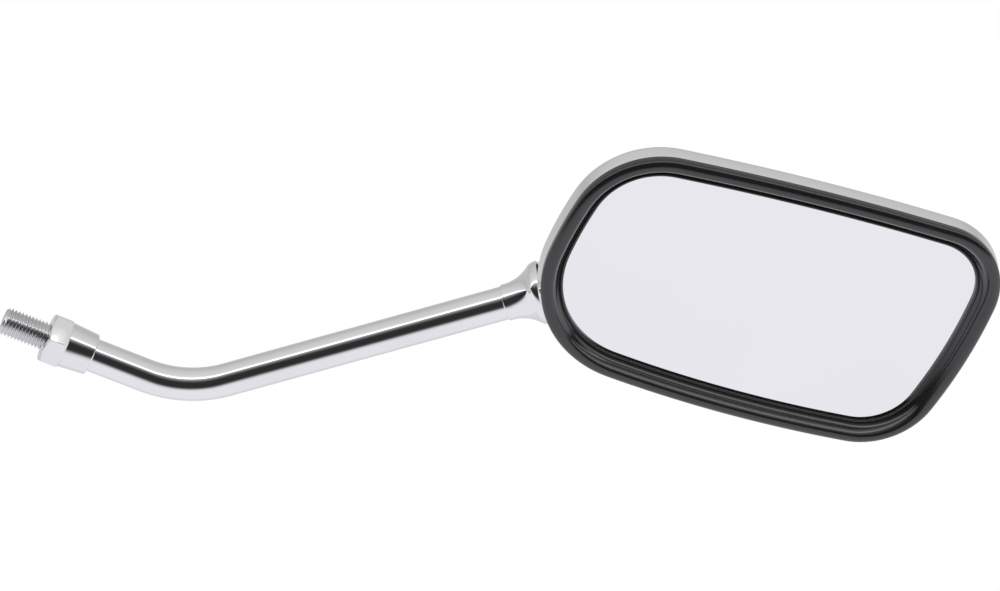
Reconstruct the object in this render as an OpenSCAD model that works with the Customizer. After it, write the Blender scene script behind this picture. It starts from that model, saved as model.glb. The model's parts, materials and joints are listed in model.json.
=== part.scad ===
// Motorcycle mirror on a bent stem: pressed shell, gasket bezel, glass and a friction ball joint.
// Millimetres. The origin is on the stud's axis at the lock nut's lower face, +Z runs up the stem.
// The upper leg leans towards -X, and the glass faces -Y.

/* [Stem] */
// Outside diameter of the bent tube
stem_d = 12; // [10:0.5:14]
// Wall of the tube
stem_wall = 1.5; // [1:0.25:2]
// Lock nut's lower face to the point where the two legs' centre lines meet
lower_leg = 53; // [45:1:80]
// Angle between the two legs
bend_angle = 45; // [30:1:60]
// Centre line radius of the bend
bend_r = 38; // [30:1:50]
// Meeting point of the legs to the centre of the ball
upper_leg = 144.5; // [120:0.5:180]

/* [Mounting stud] */
// Thread's outside diameter
stud_d = 10; // [8:1:10]
// Thread standing out below the lock nut
stud_length = 16; // [12:1:30]
// Chamfer at the thread's tip
stud_chamfer = 1; // [0.5:0.25:1.5]
// Pitch of the thread
thread_pitch = 1.25; // [1:0.25:1.5]
// Length of the stud's spigot inside the tube
spigot_length = 18; // [10:1:25]

/* [Lock nut] */
// Width across the hexagon's flats
nut_flats = 17; // [14:1:19]
// Height of the hexagon
nut_height = 7.2; // [5:0.2:10]
// Whole height with the sleeve that covers the tube's end
nut_total = 17.1; // [12:0.1:24]
// Sleeve's diameter next to the hexagon
sleeve_base_d = 16.3; // [15:0.1:17]
// Sleeve's diameter at its upper end
sleeve_tip_d = 15; // [14:0.1:16]
// Radius on the sleeve's upper edge
sleeve_edge = 0.6; // [0.2:0.1:1]
// Turn of the hexagon about the stud
nut_turn = -3; // [-30:1:30]

/* [Neck bell] */
// Diameter of the bell's narrow end
bell_narrow_d = 13; // [12.8:0.1:15]
// Diameter of the bell's mouth
bell_wide_d = 22.8; // [20:0.2:26]
// Length of the bell
bell_length = 14.7; // [12:0.1:20]
// Wall of the bell
bell_wall = 0.9; // [0.6:0.1:1.5]
// Radius of the hollow flare
flare_r = 14.5; // [10:0.5:20]
// Steepest slope of the flare
flare_slope = 42; // [30:1:60]
// Straight rim at the mouth
bell_rim = 0.8; // [0.4:0.1:2]
// Depth of the rubber seal inside the mouth
seal_depth = 4.7; // [3:0.1:6]

/* [Ball joint] */
// Diameter of the ball
ball_d = 12; // [10:0.5:16]
// Diameter of the ball's neck
neck_d = 6.4; // [5:0.2:8]
// Centre of the ball to the bell's mouth
ball_to_mouth = 9.5; // [9:0.5:14]
// Thickness of each seat
seat_wall = 0.8; // [0.6:0.1:1.5]
// Tilt of the head each way about either axis
tilt_range = 9; // [5:1:12]
// Thickness of the clamp plate and of the bracket
plate_t = 1.6; // [1.2:0.1:2.5]
// Ball's centre to the near face of either plate
plate_offset = 3.4; // [3:0.1:5]
// Radius of the clamp plate
plate_r = 11.3; // [10:0.1:14]
// Radius of the circle that the clamp screws stand on
screw_circle_r = 9; // [8.8:0.1:11]
// Clamp screw's diameter
screw_d = 3; // [2.5:0.5:4]

/* [Head outline] */
// Centre and radius of the inner lower corner, from the ball's centre
corner_inner_low = [19.5, 24, 40.5];
// Centre and radius of the outer lower corner
corner_outer_low = [106, 23, 26.7];
// Centre and radius of the outer upper corner
corner_outer_high = [101.6, 61.9, 26.8];
// Centre and radius of the inner upper corner
corner_inner_high = [9, 39.7, 30.7];
// Radius of the lower side
side_low_r = 500; // [200:10:1200]
// Radius of the outer side
side_outer_r = 190; // [120:5:400]
// Radius of the upper side
side_high_r = 1030; // [400:10:2000]
// Radius of the inner side
side_inner_r = 140; // [80:5:400]

/* [Shell] */
// Sheet thickness of the pressed shell
sheet = 1; // [0.8:0.1:1.5]
// Height of the bezel's widest line above the stem's axis
rim_height = 18.5; // [17:0.5:22]
// Centre of the ball down to the flat back
back_drop = 11.1; // [10:0.1:12.5]
// Draft of the flank
flank_draft = 22; // [14:0.5:24]
// Radius between the flank and the back
edge_r = 17; // [14:0.5:18]
// Shell's lip inside the bezel's widest line
lip_inset = 1.1; // [0.8:0.1:1.5]
// Radius of the ball joint's dome on the shell
dome_r = 13.85; // [13:0.05:16]

/* [Bezel and glass] */
// Widest line in to the edge of the lip
bezel_width = 6.1; // [5:0.1:9]
// Height of the crest above the widest line
bezel_crest = 4.9; // [3:0.1:6]
// Height of the lip's edge above the widest line
bezel_lip = 2.9; // [2:0.1:4]
// Back edge of the bezel below the widest line
bezel_back = 1.7; // [1:0.1:4]
// Widest line in to the crest
bezel_crest_inset = 3.4; // [2.5:0.1:4.5]
// Glass face below the widest line
glass_drop = 0.9; // [0:0.1:2]
// Thickness of the glass
glass_t = 2; // [1.8:0.1:3]
// Thickness of the foam behind the glass
foam_t = 1.5; // [1:0.1:3]
// Clearance round the glass in its groove
glass_play = 0.15; // [0.05:0.05:0.4]

/* [Fits] */
// Radial gap of a pressed, brazed or gripped fit
press_gap = 0.02; // [0.01:0.01:0.05]
// Radial gap of the lock nut on its thread
thread_gap = 0.07; // [0.03:0.01:0.1]
// Gap between surfaces that move past each other
swing_gap = 0.3; // [0.3:0.05:0.5]
// Room past the neck at the shell's hole with the head fully tilted
hole_room = 0.8; // [0.5:0.1:1.5]
// Room past the bell's mouth in the shell's recess
recess_room = 1.06; // [0.8:0.02:1.5]

/* [Hidden] */

$fn = 96;
eps = 0.01;
far = 60;

chrome = [0.82, 0.82, 0.84];
zinc = [0.7, 0.71, 0.72];
steel = [0.55, 0.56, 0.58];
rubber = [0.09, 0.09, 0.1];
nylon = [0.88, 0.87, 0.82];

stem_r = stem_d / 2;
bore_r = stem_r - stem_wall;
bend_tangent = bend_r * tan(bend_angle / 2);
bend_start = lower_leg - bend_tangent;
ball_r = ball_d / 2;
neck_r = neck_d / 2;

// Places along the upper leg are measured from the ball's centre, away from the stem.
bell_mouth = -ball_to_mouth;
bell_foot = bell_mouth - bell_length;
bell_narrow_r = bell_narrow_d / 2;
bell_wide_r = bell_wide_d / 2;
shoulder_r = (bell_wide_r - bell_narrow_r) / (1 - cos(flare_slope)) - flare_r;
rim_start = bell_mouth - bell_rim;
flare_end = rim_start - shoulder_r * sin(flare_slope);
flare_start = flare_end - flare_r * sin(flare_slope);
flare_centre_r = bell_narrow_r + flare_r;
bell_bore_r = stem_r + press_gap;
inner_flare_r = flare_r + bell_wall;
bore_end = flare_start + sqrt(pow(inner_flare_r, 2) - pow(flare_centre_r - bell_bore_r, 2));
tube_end = bore_end - 0.3;
collar_t = 1.6;
neck_cone = 2.2;

// Thread that stands free has its outside radius, and thread inside the nut its pitch radius.
stud_r = stud_d / 2;
pitch_r = stud_r - 0.3248 * thread_pitch;
nut_bore_r = pitch_r + thread_gap;
nut_step = nut_height + 0.5;
tube_start = nut_step + 0.5;
sleeve_bore_r = stem_r + swing_gap;
nut_corner_r = nut_flats / 2 / cos(30);
nut_face_r = nut_flats / 2 - 0.3;
nut_slope = tan(30);
nut_ledge = 0.15;

seat_inner_r = ball_r + swing_gap;
seat_outer_r = seat_inner_r + seat_wall;
socket_r = seat_outer_r + swing_gap;
seat_split = 0.75;
seat_end = plate_offset + plate_t + 0.1;
screw_r = screw_d / 2;
screw_clear_r = screw_r + 0.2;
screw_head_r = 2.6;
screw_head_h = 1.9;
head_chamfer = 0.5;
cross_half = 1.5;
cross_w = 0.7;
cross_depth = 1;
washer_t = 0.8;
washer_gap = 0.5;
plate_far = plate_offset + plate_t;
screw_angles = [90, -23, 203];

corners = [corner_inner_low, corner_outer_low, corner_outer_high, corner_inner_high];
side_radii = [side_low_r, side_outer_r, side_high_r, side_inner_r];
shell_depth = rim_height + back_drop;
back_z = -shell_depth;
edge_z = back_z + edge_r;
back_inset = lip_inset + (edge_r - sin(flank_draft) * (edge_z + bezel_back)) / cos(flank_draft);
edge_steps = 10;
lap_length = 240;
core_margin = 1.2;
core_inset = back_inset + core_margin;
core_overlap = 0.8;
mouth_z = 1;
full_tilt = tilt_range * sqrt(2);
dome_hole_r = dome_r * sin(asin(neck_r / dome_r) + full_tilt) + hole_room;
swing_r = norm([bell_wide_r, ball_to_mouth]) + recess_room;
swing_half_angle = atan(bell_wide_r / ball_to_mouth) + full_tilt + 2;
foot_z = sheet - back_drop;
tongue_rise = 1.8;
tongue_z = foot_z + tongue_rise;
fold_r = plate_t / 2;
fold_z = tongue_z + plate_t + fold_r;
tongue_width = 9;
relief = 0.5;
ramp_start = 13.5;
foot_start = 16.5;
pad_start = 20;
foot_end = 38;
foot_width = 16;
bend_shift = 0.7;

groove_inset = 5;
tab_inset = 7.6;
tab_t = 1.2;
foam_inset = 8;
glass_z = -glass_drop;

function side_centre(i) =
    let (a = corners[i], b = corners[(i + 1) % 4], da = side_radii[i] - a[2], db = side_radii[i] - b[2],
        gap = [b[0] - a[0], b[1] - a[1]], span = norm(gap), along = gap / span, inward = [-along[1], along[0]],
        x = (da * da - db * db + span * span) / (2 * span), y = sqrt(da * da - x * x))
    [a[0], a[1]] + along * x + inward * y;

function heading(from, to) = atan2(to[1] - from[1], to[0] - from[0]);
function side_start(i) = heading(side_centre(i), corners[i]);
function side_finish(i) = heading(side_centre(i), corners[(i + 1) % 4]);
function turn(from, to) = (to - from + 720) % 360;

function corner_turn(i) = turn(side_finish(i), side_start((i + 1) % 4));

// A point on the line that a corner's centre shares with the centre of the side beside it.
function ray(k, angle) = let (reach = corners[k][2] + 30)
    [corners[k][0] + reach * cos(angle), corners[k][1] + reach * sin(angle)];
function middle(k) = [corners[k][0], corners[k][1]];

// The eight arcs in order, each as centre, radius, start, turn and the sector that the arc fills.
arcs = [for (i = [0:3]) let (k = (i + 1) % 4, from = side_start(i), to = side_finish(i)) each [
    [side_centre(i), side_radii[i], from, turn(from, to), [middle(i), ray(i, from), ray(k, to), middle(k)]],
    [middle(k), corners[k][2], to, corner_turn(i),
        [middle(k), ray(k, to), ray(k, to + corner_turn(i) / 2), ray(k, to + corner_turn(i))]]
]];

function outline_points(inset, steps) = [
    for (arc = arcs) for (s = [0:steps - 1])
        let (a = arc[2] + arc[3] * s / steps)
        arc[0] + (arc[1] - inset) * [cos(a), sin(a)]
];

module on_head() {
    translate([-upper_leg * sin(bend_angle), 0, lower_leg + upper_leg * cos(bend_angle)])
        rotate([90, -90, 0]) children();
}

// x away from the stem, y across it in the plane of the glass, z towards the glass's face.
module on_joint() {
    on_head() rotate([0, 0, bend_angle]) children();
}

// z along the upper leg, from the ball's centre away from the stem.
module on_axis() {
    on_joint() rotate([0, 90, 0]) children();
}

// Moves by whole, thousandth and finer steps in turn, so that a far centre keeps all its digits.
module place(p) {
    coarse = [round(p[0]), round(p[1])];
    fine = [round((p[0] - coarse[0]) * 1000), round((p[1] - coarse[1]) * 1000)] / 1000;
    translate(coarse) translate(fine) translate(p - coarse - fine) children();
}

// Carries a section round the outline: x is out from the widest line, y is height above it.
// Each arc runs a little long and is trimmed to its sector, so that neighbours meet on one plane.
module sweep() {
    translate([0, 0, rim_height])
        for (arc = arcs) {
            lap = lap_length / arc[1];
            intersection() {
                place(arc[0])
                    rotate_extrude(start = arc[2] - lap, angle = arc[3] + 2 * lap,
                        $fn = max(48, 6 * 360 / arc[3]))
                        translate([arc[1], 0]) children();
                translate([0, 0, -far]) linear_extrude(2 * far) polygon(arc[4]);
            }
        }
}

module core(low, high) {
    translate([0, 0, rim_height + low])
        linear_extrude(high - low) polygon(outline_points(core_inset - core_overlap, 8));
}

module slab(inset, low, high) {
    sweep() translate([-core_inset, low]) square([core_inset - inset, high - low]);
    core(low, high);
}

// Half section of the pan, drawn in from its outer surface by a thickness.
module pan_section(inward, top) {
    lip_x = -lip_inset - inward;
    r = edge_r - inward;
    polygon(concat(
        [[-core_inset, back_z + inward]],
        [for (s = [0:edge_steps])
            let (a = -90 + (90 - flank_draft) * s / edge_steps)
            [-back_inset + r * cos(a), edge_z + r * sin(a)]],
        [
            [lip_x, -bezel_back + inward * tan(flank_draft / 2)],
            [lip_x, top],
            [-core_inset, top]
        ]
    ));
}

module pan(inward, top) {
    sweep() pan_section(inward, top);
    core(back_z + inward, top);
}

// Space that the bell's mouth swings through, grown by a thickness.
module swing_space(grow) {
    intersection() {
        sphere(swing_r + grow);
        rotate([0, -90, 0]) translate([0, 0, -grow / sin(swing_half_angle)])
            cylinder(h = far, r1 = 0, r2 = far * tan(swing_half_angle));
    }
}

module shell_body(inward, top) {
    difference() {
        pan(inward, top);
        rotate([0, 0, bend_angle]) swing_space(inward);
    }
    sphere(dome_r - inward);
}

module shell() {
    color(chrome) on_head() difference() {
        shell_body(0, mouth_z);
        shell_body(sheet, mouth_z + 1);
        rotate([0, 0, bend_angle]) rotate([0, -90, 0]) cylinder(h = far, r = dome_hole_r);
    }
}

module bezel_section() {
    crest_x = -bezel_crest_inset;
    lip_rx = bezel_width - bezel_crest_inset;
    lip_ry = bezel_crest - bezel_lip;
    polygon(concat(
        [for (a = [-10:10:90]) [crest_x + bezel_crest_inset * cos(a),
            (a < 0 ? bezel_back / sin(10) : bezel_crest) * sin(a)]],
        [for (a = [100:10:160]) [crest_x + lip_rx * cos(a), bezel_lip + lip_ry * sin(a)]],
        [
            [-bezel_width, bezel_lip - 0.3],
            [-bezel_width, glass_z],
            [-groove_inset, glass_z],
            [-groove_inset, glass_z - glass_t],
            [-tab_inset, glass_z - glass_t],
            [-tab_inset, glass_z - glass_t - tab_t],
            [-lip_inset - sheet - 1.35, glass_z - glass_t - tab_t],
            [-lip_inset - sheet - 0.1, -bezel_back],
            [-lip_inset - sheet - 0.05, mouth_z + 0.05],
            [-lip_inset + 0.05, mouth_z + 0.05],
            [-lip_inset + 0.05, -bezel_back]
        ]
    ));
}

module bezel() {
    color(rubber) on_head() difference() {
        sweep() bezel_section();
        rotate([0, 0, bend_angle]) swing_space(sheet + swing_gap);
    }
}

module mirror_glass() {
    color([0.86, 0.87, 0.9]) on_head() slab(groove_inset + glass_play, glass_z - glass_t, glass_z);
}

module glass_foam() {
    color([0.2, 0.2, 0.21]) on_head() translate([0, 0, rim_height + glass_z - glass_t - foam_t])
        linear_extrude(foam_t) polygon(outline_points(foam_inset, 10));
}

module seat_zone(near, away) {
    rotate_extrude() intersection() {
        difference() {
            circle(seat_outer_r);
            circle(seat_inner_r);
        }
        translate([0, near]) square([2 * seat_outer_r, away - near]);
    }
}

module ball_seat_front() {
    color(nylon) on_axis() seat_zone(-seat_end, -seat_split);
}

module ball_seat_rear() {
    color(nylon) on_axis() seat_zone(seat_split, seat_end);
}

// Each place of a clamp screw, with z along the screw towards its head.
module at_screw(k) {
    rotate([screw_angles[k], 0, 0]) translate([0, screw_circle_r, 0]) rotate([0, 90, 0]) children();
}

module screw_holes(r, from) {
    for (k = [0:2])
        at_screw(k) translate([0, 0, from - eps]) cylinder(h = plate_t + 2 * eps, r = r);
}

module clamp_plate() {
    color(zinc) on_joint() difference() {
        rotate([0, 90, 0]) translate([0, 0, -plate_far]) cylinder(h = plate_t, r = plate_r);
        sphere(socket_r);
        screw_holes(screw_r + press_gap, -plate_far);
    }
}

// Side view of the tongue that steps from the upright down to the shell's floor.
module tongue_side() {
    polygon([
        [plate_far + fold_r, tongue_z],
        [ramp_start, tongue_z],
        [foot_start, foot_z],
        [foot_end, foot_z],
        [foot_end, foot_z + plate_t],
        [foot_start + bend_shift, foot_z + plate_t],
        [ramp_start + bend_shift, tongue_z + plate_t],
        [plate_far + fold_r, tongue_z + plate_t]
    ]);
}

module joint_bracket() {
    slot = tongue_width + 2 * relief;
    color(zinc) on_joint() difference() {
        union() {
            difference() {
                rotate([0, 90, 0]) translate([0, 0, plate_offset]) cylinder(h = plate_t, r = plate_r);
                translate([0, -slot / 2, fold_z - far]) cube([far, slot, far]);
            }
            translate([plate_far + fold_r, 0, fold_z]) rotate([90, 180, 0])
                rotate_extrude(angle = 90) translate([fold_r, -tongue_width / 2])
                    square([plate_t, tongue_width]);
            translate([0, tongue_width / 2, 0]) rotate([90, 0, 0])
                linear_extrude(tongue_width) tongue_side();
            translate([pad_start, -foot_width / 2, foot_z]) cube([foot_end - pad_start, foot_width, plate_t]);
        }
        sphere(socket_r);
        screw_holes(screw_clear_r, plate_offset);
    }
}

module clamp_screw(k) {
    head_z = plate_far + washer_t;
    color(steel) on_joint() at_screw(k) difference() {
        union() {
            translate([0, 0, -plate_far]) cylinder(h = head_z + plate_far, r = screw_r);
            translate([0, 0, head_z]) cylinder(h = screw_head_h - head_chamfer, r = screw_head_r);
            translate([0, 0, head_z + screw_head_h - head_chamfer])
                cylinder(h = head_chamfer, r1 = screw_head_r, r2 = screw_head_r - head_chamfer - 0.1);
        }
        for (a = [0, 90])
            rotate([0, 0, a]) translate([-cross_half, -cross_w / 2, head_z + screw_head_h - cross_depth])
                cube([2 * cross_half, cross_w, 2 * cross_depth]);
    }
}

module clamp_washer(k) {
    color(steel) on_joint() at_screw(k) translate([0, 0, plate_far]) difference() {
        cylinder(h = washer_t, r = screw_head_r);
        translate([0, 0, -eps]) cylinder(h = washer_t + 2 * eps, r = screw_r + 0.1);
        translate([0, -washer_gap / 2, -eps]) rotate([0, 20, 0])
            cube([2 * screw_head_r, washer_gap, 3 * washer_t]);
    }
}

module ball_stud() {
    color(steel) on_axis() {
        sphere(ball_r);
        translate([0, 0, tube_end + collar_t + neck_cone - eps])
            cylinder(h = -tube_end - collar_t - neck_cone, r = neck_r);
        translate([0, 0, tube_end + collar_t]) cylinder(h = neck_cone, r1 = stem_r - 0.2, r2 = neck_r);
        translate([0, 0, tube_end]) cylinder(h = collar_t, r = stem_r - 0.2);
        translate([0, 0, tube_end - spigot_length]) cylinder(h = spigot_length + eps, r = bore_r - press_gap);
    }
}

// Half section of the bell's outside, or of its hollow when drawn in by the wall.
module bell_section(inward) {
    flare = flare_r + inward;
    shoulder = shoulder_r - inward;
    foot_r = inward > 0 ? bell_bore_r : bell_narrow_r;
    first = inward > 0 ? bore_end : flare_start;
    first_angle = asin((first - flare_start) / flare);
    polygon(concat(
        [[0, bell_foot - inward], [foot_r, bell_foot - inward], [foot_r, first]],
        [for (s = [1:8])
            let (a = first_angle + (flare_slope - first_angle) * s / 8)
            [flare_centre_r - flare * cos(a), flare_start + flare * sin(a)]],
        [for (s = [7:-1:0])
            let (a = flare_slope * s / 8)
            [bell_wide_r - shoulder_r + shoulder * cos(a), rim_start - shoulder * sin(a)]],
        [[bell_wide_r - inward, bell_mouth + inward], [0, bell_mouth + inward]]
    ));
}

module neck_bell() {
    color(chrome) on_axis() rotate_extrude() difference() {
        bell_section(0);
        bell_section(bell_wall);
    }
}

module neck_seal() {
    low = bell_mouth - seal_depth;
    color(rubber) on_axis() rotate_extrude() difference() {
        intersection() {
            bell_section(bell_wall + press_gap);
            translate([bell_wide_r - seal_depth, low]) square([seal_depth, seal_depth - 0.3]);
        }
        circle(dome_r + swing_gap);
    }
}

module ring() {
    difference() {
        circle(stem_r);
        circle(bore_r);
    }
}

module stem() {
    color(chrome) {
        translate([0, 0, tube_start]) linear_extrude(bend_start - tube_start) ring();
        translate([-bend_r, 0, bend_start]) {
            rotate([90, 0, 0]) rotate_extrude(angle = bend_angle) translate([bend_r, 0]) ring();
            rotate([0, -bend_angle, 0]) translate([bend_r, 0, 0])
                linear_extrude(upper_leg - bend_tangent + tube_end) ring();
        }
    }
}

module mounting_stud() {
    tip_r = stud_r - stud_chamfer;
    color(zinc) {
        translate([0, 0, stud_chamfer - stud_length]) cylinder(h = stud_length - stud_chamfer, r = stud_r);
        translate([0, 0, -stud_length]) cylinder(h = stud_chamfer, r1 = tip_r, r2 = stud_r);
        translate([0, 0, -eps]) cylinder(h = tube_start + eps, r = pitch_r);
        translate([0, 0, tube_start - eps]) cylinder(h = spigot_length, r = bore_r - press_gap);
    }
}

// Hexagon with the lower face's chamfer and the upper one that runs down to the sleeve.
module nut_hexagon() {
    top_r = sleeve_base_d / 2 + nut_ledge;
    reach = nut_height / nut_slope;
    intersection() {
        rotate([0, 0, nut_turn]) cylinder(h = nut_height, r = nut_corner_r, $fn = 6);
        cylinder(h = nut_height, r1 = nut_face_r, r2 = nut_face_r + reach);
        cylinder(h = nut_height, r1 = top_r + reach, r2 = top_r);
    }
}

module lock_nut() {
    base_r = sleeve_base_d / 2;
    tip_r = sleeve_tip_d / 2;
    color(chrome) difference() {
        union() {
            nut_hexagon();
            rotate_extrude() polygon([
                [0, nut_height - 1],
                [base_r, nut_height - 1],
                [base_r, nut_height],
                [tip_r, nut_total - sleeve_edge],
                [tip_r - sleeve_edge * 0.3, nut_total - sleeve_edge * 0.3],
                [tip_r - sleeve_edge, nut_total],
                [0, nut_total]
            ]);
        }
        translate([0, 0, -eps]) cylinder(h = nut_total, r = nut_bore_r);
        translate([0, 0, nut_step]) cylinder(h = nut_total, r = sleeve_bore_r);
    }
}

module clamp_screw_1() { clamp_screw(0); }
module clamp_screw_2() { clamp_screw(1); }
module clamp_screw_3() { clamp_screw(2); }
module clamp_washer_1() { clamp_washer(0); }
module clamp_washer_2() { clamp_washer(1); }
module clamp_washer_3() { clamp_washer(2); }

stem();
mounting_stud();
lock_nut();
ball_stud();
neck_bell();
neck_seal();
ball_seat_front();
ball_seat_rear();
clamp_plate();
joint_bracket();
clamp_screw_1();
clamp_screw_2();
clamp_screw_3();
clamp_washer_1();
clamp_washer_2();
clamp_washer_3();
shell();
bezel();
mirror_glass();
glass_foam();
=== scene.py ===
"""Looks of a motorcycle mirror: chromed stem and shell, rubber bezel, silvered glass and ball joint."""

import json
import logging
import math
from collections.abc import Callable, Sequence
from dataclasses import dataclass, field
from enum import Enum

import bmesh
import bpy
from mathutils import Matrix, Vector

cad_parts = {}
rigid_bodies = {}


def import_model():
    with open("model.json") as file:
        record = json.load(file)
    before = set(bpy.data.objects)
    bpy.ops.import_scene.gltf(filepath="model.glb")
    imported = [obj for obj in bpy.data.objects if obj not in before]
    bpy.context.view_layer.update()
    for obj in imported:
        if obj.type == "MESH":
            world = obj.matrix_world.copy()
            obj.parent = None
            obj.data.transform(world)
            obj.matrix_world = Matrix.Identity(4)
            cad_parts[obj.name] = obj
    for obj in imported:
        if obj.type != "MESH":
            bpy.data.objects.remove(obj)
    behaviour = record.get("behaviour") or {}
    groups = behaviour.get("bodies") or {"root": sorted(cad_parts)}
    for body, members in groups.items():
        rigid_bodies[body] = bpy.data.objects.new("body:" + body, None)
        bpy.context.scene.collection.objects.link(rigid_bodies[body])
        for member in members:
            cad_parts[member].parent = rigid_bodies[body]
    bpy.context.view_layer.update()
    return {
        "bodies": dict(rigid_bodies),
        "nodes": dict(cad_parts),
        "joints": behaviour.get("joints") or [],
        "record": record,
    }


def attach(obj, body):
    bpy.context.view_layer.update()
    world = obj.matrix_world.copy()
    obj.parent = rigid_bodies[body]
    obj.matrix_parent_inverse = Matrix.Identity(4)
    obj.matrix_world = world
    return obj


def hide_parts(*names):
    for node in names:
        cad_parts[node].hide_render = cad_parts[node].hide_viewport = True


LOG = logging.getLogger("mirror")
MM = 0.001
# Ending of every material's name, because the frame has materials with the plain ones
LOOK = "_look"

# How close points are when they become one, in millimetres
FINE_WELD = 1e-5
WELD = 1e-3
SEAM_WELD = 0.1

Triple = tuple[float, float, float]
Profile = list[tuple[float, float]]
Mesh = bmesh.types.BMesh
Edges = list[bmesh.types.BMEdge]
Verts = list[bmesh.types.BMVert]


# Materials
class Value:
    """A shader socket that takes part in Python arithmetic."""

    def __init__(self, nodes: "Nodes", socket: bpy.types.NodeSocket) -> None:
        """Wraps a socket.

        Args:
            nodes: The builder whose tree the socket is in.
            socket: The output that this value stands for.
        """
        self.nodes = nodes
        self.socket = socket

    def __add__(self, other: "Value | float") -> "Value":
        """Sum."""
        return self.nodes.math("ADD", self, other)

    __radd__ = __add__

    def __sub__(self, other: "Value | float") -> "Value":
        """Difference."""
        return self.nodes.math("SUBTRACT", self, other)

    def __rsub__(self, other: float) -> "Value":
        """Difference from a number."""
        return self.nodes.math("SUBTRACT", other, self)

    def __mul__(self, other: "Value | float") -> "Value":
        """Product."""
        return self.nodes.math("MULTIPLY", self, other)

    __rmul__ = __mul__

    def between(self, low: float, high: float) -> "Value":
        """A smooth step from 0 at low to 1 at high."""
        made = self.nodes.add(
            "ShaderNodeMapRange",
            {"interpolation_type": "SMOOTHSTEP"},
            {"Value": self, "From Min": low, "From Max": high, "To Min": 0.0, "To Max": 1.0},
        )
        return Value(self.nodes, made.outputs["Result"])


class Nodes:
    """Builds one node tree."""

    def __init__(self, tree: bpy.types.NodeTree) -> None:
        """Empties a tree.

        Args:
            tree: The tree to fill.
        """
        self.tree = tree
        tree.nodes.clear()

    def add(
        self,
        kind: str,
        settings: dict[str, object] | None = None,
        inputs: dict[str | int, object] | None = None,
    ) -> bpy.types.Node:
        """Adds a node, sets it up and fills its sockets.

        Args:
            kind: The node's type.
            settings: Properties that are set first.
            inputs: Values, or Value links, by socket name or index.

        Returns:
            The new node.
        """
        made = self.tree.nodes.new(kind)
        for name, value in (settings or {}).items():
            if name == "stops":
                self._stops(made, value)
            else:
                setattr(made, name, value)
        for name, value in (inputs or {}).items():
            socket = made.inputs[name]
            if isinstance(value, Value):
                self.tree.links.new(value.socket, socket)
            elif isinstance(value, bpy.types.NodeSocket):
                self.tree.links.new(value, socket)
            else:
                socket.default_value = value
        return made

    @staticmethod
    def _stops(ramp: bpy.types.Node, stops: Sequence[tuple[float, Triple]]) -> None:
        """Sets a colour ramp's stops.

        Args:
            ramp: The ramp node.
            stops: Place and colour of each stop.
        """
        elements = ramp.color_ramp.elements
        while len(elements) < len(stops):
            elements.new(1.0)
        for element, (place, colour) in zip(elements, stops, strict=True):
            element.position = place
            element.color = rgba(colour)

    def math(self, operation: str, *values: Value | float) -> Value:
        """Adds a Math node.

        Args:
            operation: The node's operation.
            values: Its inputs in order.

        Returns:
            The result.
        """
        made = self.add("ShaderNodeMath", {"operation": operation}, dict(enumerate(values)))
        return Value(self, made.outputs[0])

    def mix(self, share: Value | float, first: object, second: object) -> Value:
        """Mixes two colours.

        Args:
            share: How much of the second colour.
            first: Colour at 0.
            second: Colour at 1.

        Returns:
            The mixed colour.
        """
        made = self.add("ShaderNodeMix", {"data_type": "RGBA"}, {0: share, 6: first, 7: second})
        return Value(self, made.outputs[2])

    def noise(self, place: Value, scale: float, detail: float = 3.0, roughness: float = 0.5) -> Value:
        """Adds a noise pattern.

        Args:
            place: Coordinates that it reads.
            scale: Cells in a metre.
            detail: Octaves.
            roughness: Weight of the finer octaves.

        Returns:
            The pattern, about 0 to 1.
        """
        inputs = {"Vector": place, "Scale": scale, "Detail": detail, "Roughness": roughness}
        return Value(self, self.add("ShaderNodeTexNoise", {}, inputs).outputs[0])

    def object_place(self) -> Value:
        """Object coordinates."""
        return Value(self, self.add("ShaderNodeTexCoord").outputs["Object"])

    def bump(self, height: Value, distance: float, strength: float) -> Value:
        """Adds a Bump node.

        Args:
            height: The height pattern.
            distance: Height of a step from 0 to 1, in metres.
            strength: Share of the effect.

        Returns:
            The bent normal.
        """
        inputs = {"Height": height, "Distance": distance, "Strength": strength}
        return Value(self, self.add("ShaderNodeBump", {}, inputs).outputs[0])

    def surface(self, inputs: dict[str | int, object]) -> None:
        """Ends the tree with a principled surface.

        Args:
            inputs: The surface's socket values and links.
        """
        shader = self.add("ShaderNodeBsdfPrincipled", {}, inputs)
        self.add("ShaderNodeOutputMaterial", {}, {"Surface": shader.outputs[0]})


def new_material(name: str) -> tuple[bpy.types.Material, Nodes]:
    """Starts a node material.

    Args:
        name: Its name.

    Returns:
        The material and the builder of its tree.
    """
    made = bpy.data.materials.new(name)
    made.use_nodes = True
    return made, Nodes(made.node_tree)


def rgba(colour: Triple) -> tuple[float, float, float, float]:
    """A colour with full cover."""
    return (*colour, 1.0)


@dataclass(frozen=True)
class Metal:
    """Plated or bare metal with a faint grain and waviness."""

    name: str
    colour: Triple
    roughness: float
    spread: float = 0.02
    grain: float = 900.0
    wave_mm: float = 0.0
    grain_mm: float = 0.0
    dulled: float = 0.04
    waves: float = 26.0
    worn_from: float = 0.35
    worn_to: float = 0.75
    grain_share: float = 0.6

    def material(self) -> bpy.types.Material:
        """Builds the material."""
        made, nodes = new_material(self.name + LOOK)
        place = nodes.object_place()
        fine = nodes.noise(place, self.grain, 4.0)
        broad = nodes.noise(place, self.waves, 2.0)
        worn = tuple(c * (1 - self.dulled) for c in self.colour)
        uneven = self.grain_share * fine + (1 - self.grain_share) * broad
        duller = broad.between(self.worn_from, self.worn_to)
        inputs = {
            "Base Color": nodes.mix(duller, rgba(self.colour), rgba(worn)),
            "Metallic": 1.0,
            "Roughness": self.roughness + self.spread * uneven,
        }
        if self.wave_mm or self.grain_mm:
            height = self.wave_mm * broad + self.grain_mm * fine
            inputs["Normal"] = nodes.bump(height, MM, 1.0)
        nodes.surface(inputs)
        return made


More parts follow.
